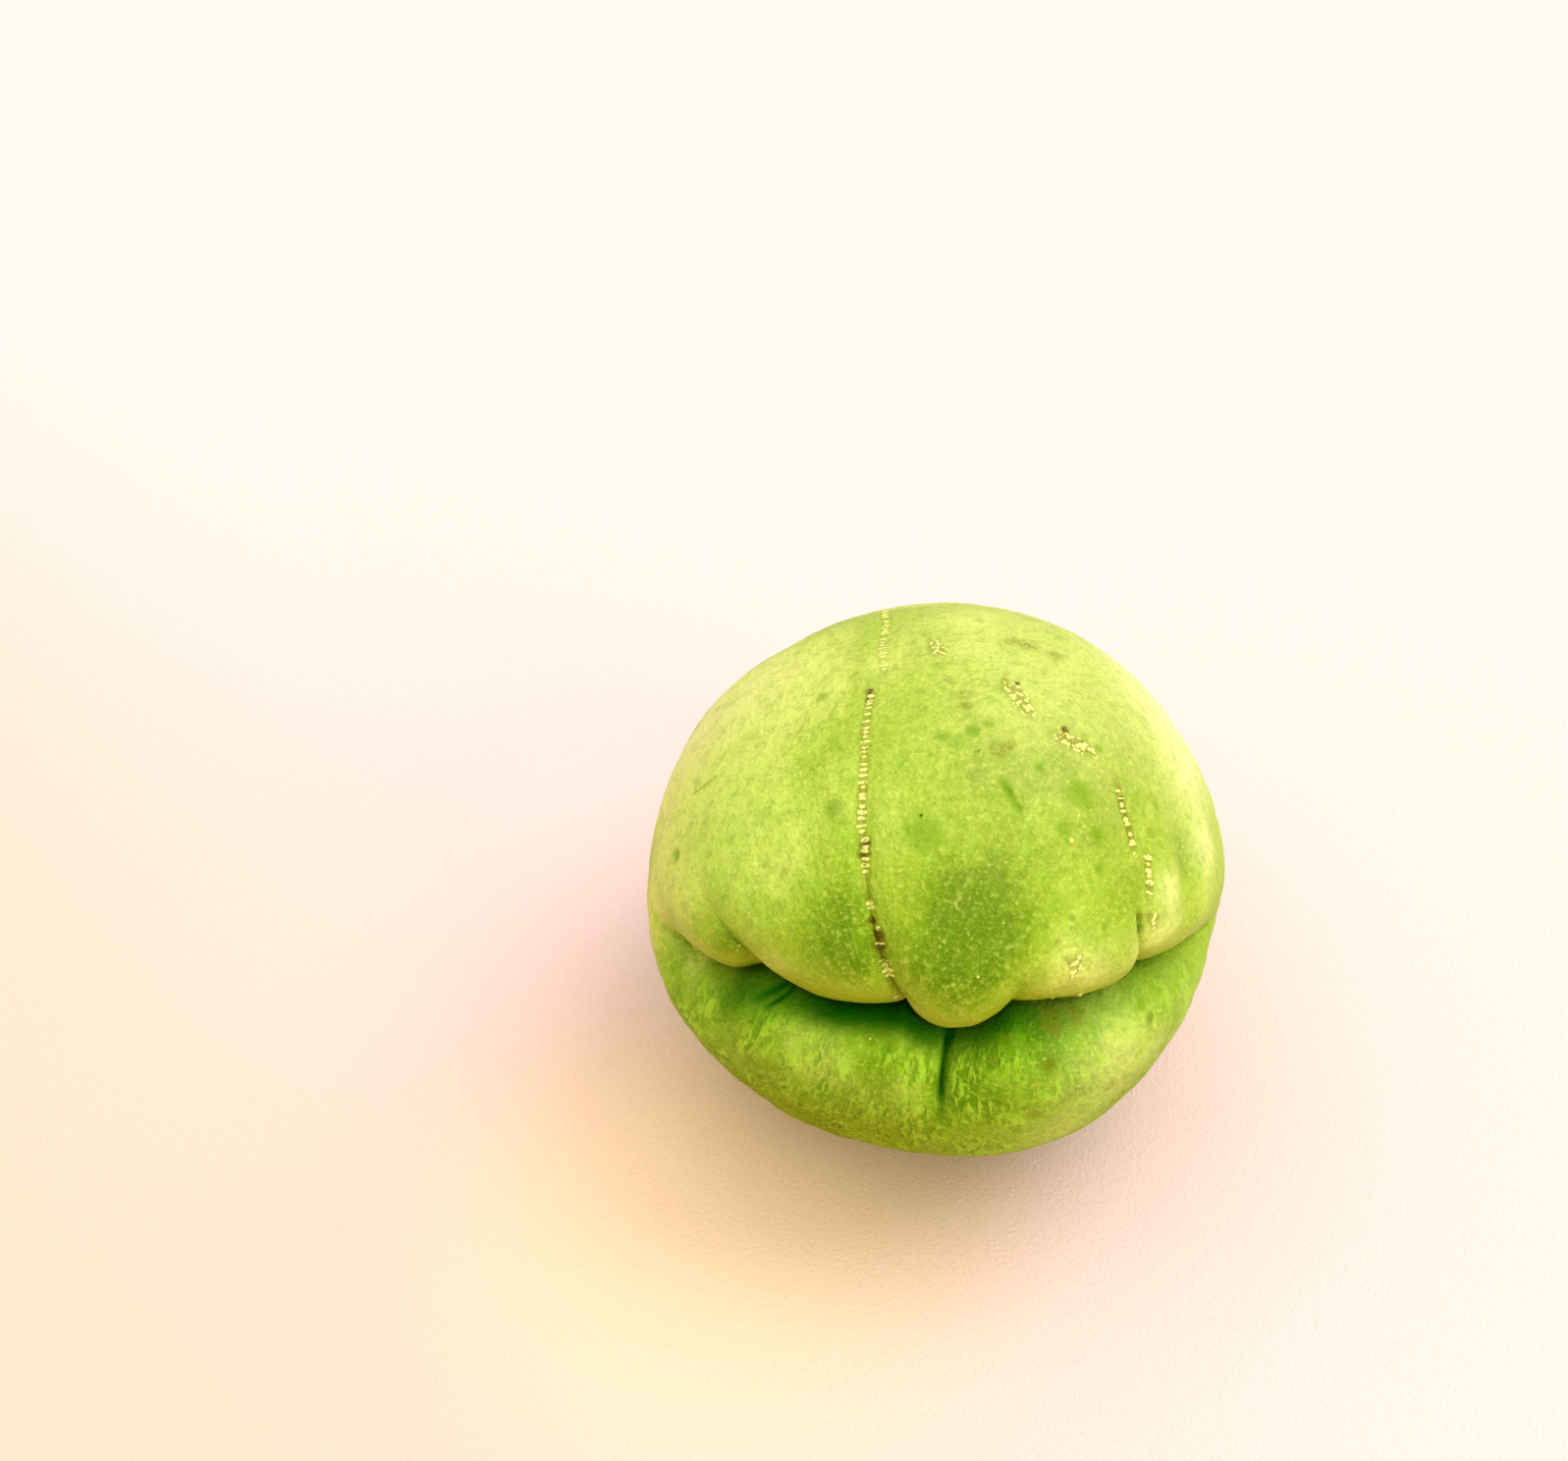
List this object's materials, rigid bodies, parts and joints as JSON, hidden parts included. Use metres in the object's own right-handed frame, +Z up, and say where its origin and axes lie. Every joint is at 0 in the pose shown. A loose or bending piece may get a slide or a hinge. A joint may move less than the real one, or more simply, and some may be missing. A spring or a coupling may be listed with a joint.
{
  "type": "chayote squash",
  "caption": "Whole chayote squash lying on its side: pear-shaped, folded like a closed mouth at the wide blossom end, with a pitted, lobed stem end.",
  "frame": {"origin": "under the middle of the fruit, on the surface it lies on", "axes": "+Z up, -Y towards the blossom end with its folded mouth, +Y towards the stem end, +X to the right when the mouth is faced"},
  "size_m": [0.0876, 0.1196, 0.0802],
  "materials": {
    "skin": "waxy pale green fruit skin with fine mottling, soft sheen and corky cream flecks"
  },
  "bodies": {
    "root": {"chayote": "skin"}
  },
  "joints": []
}
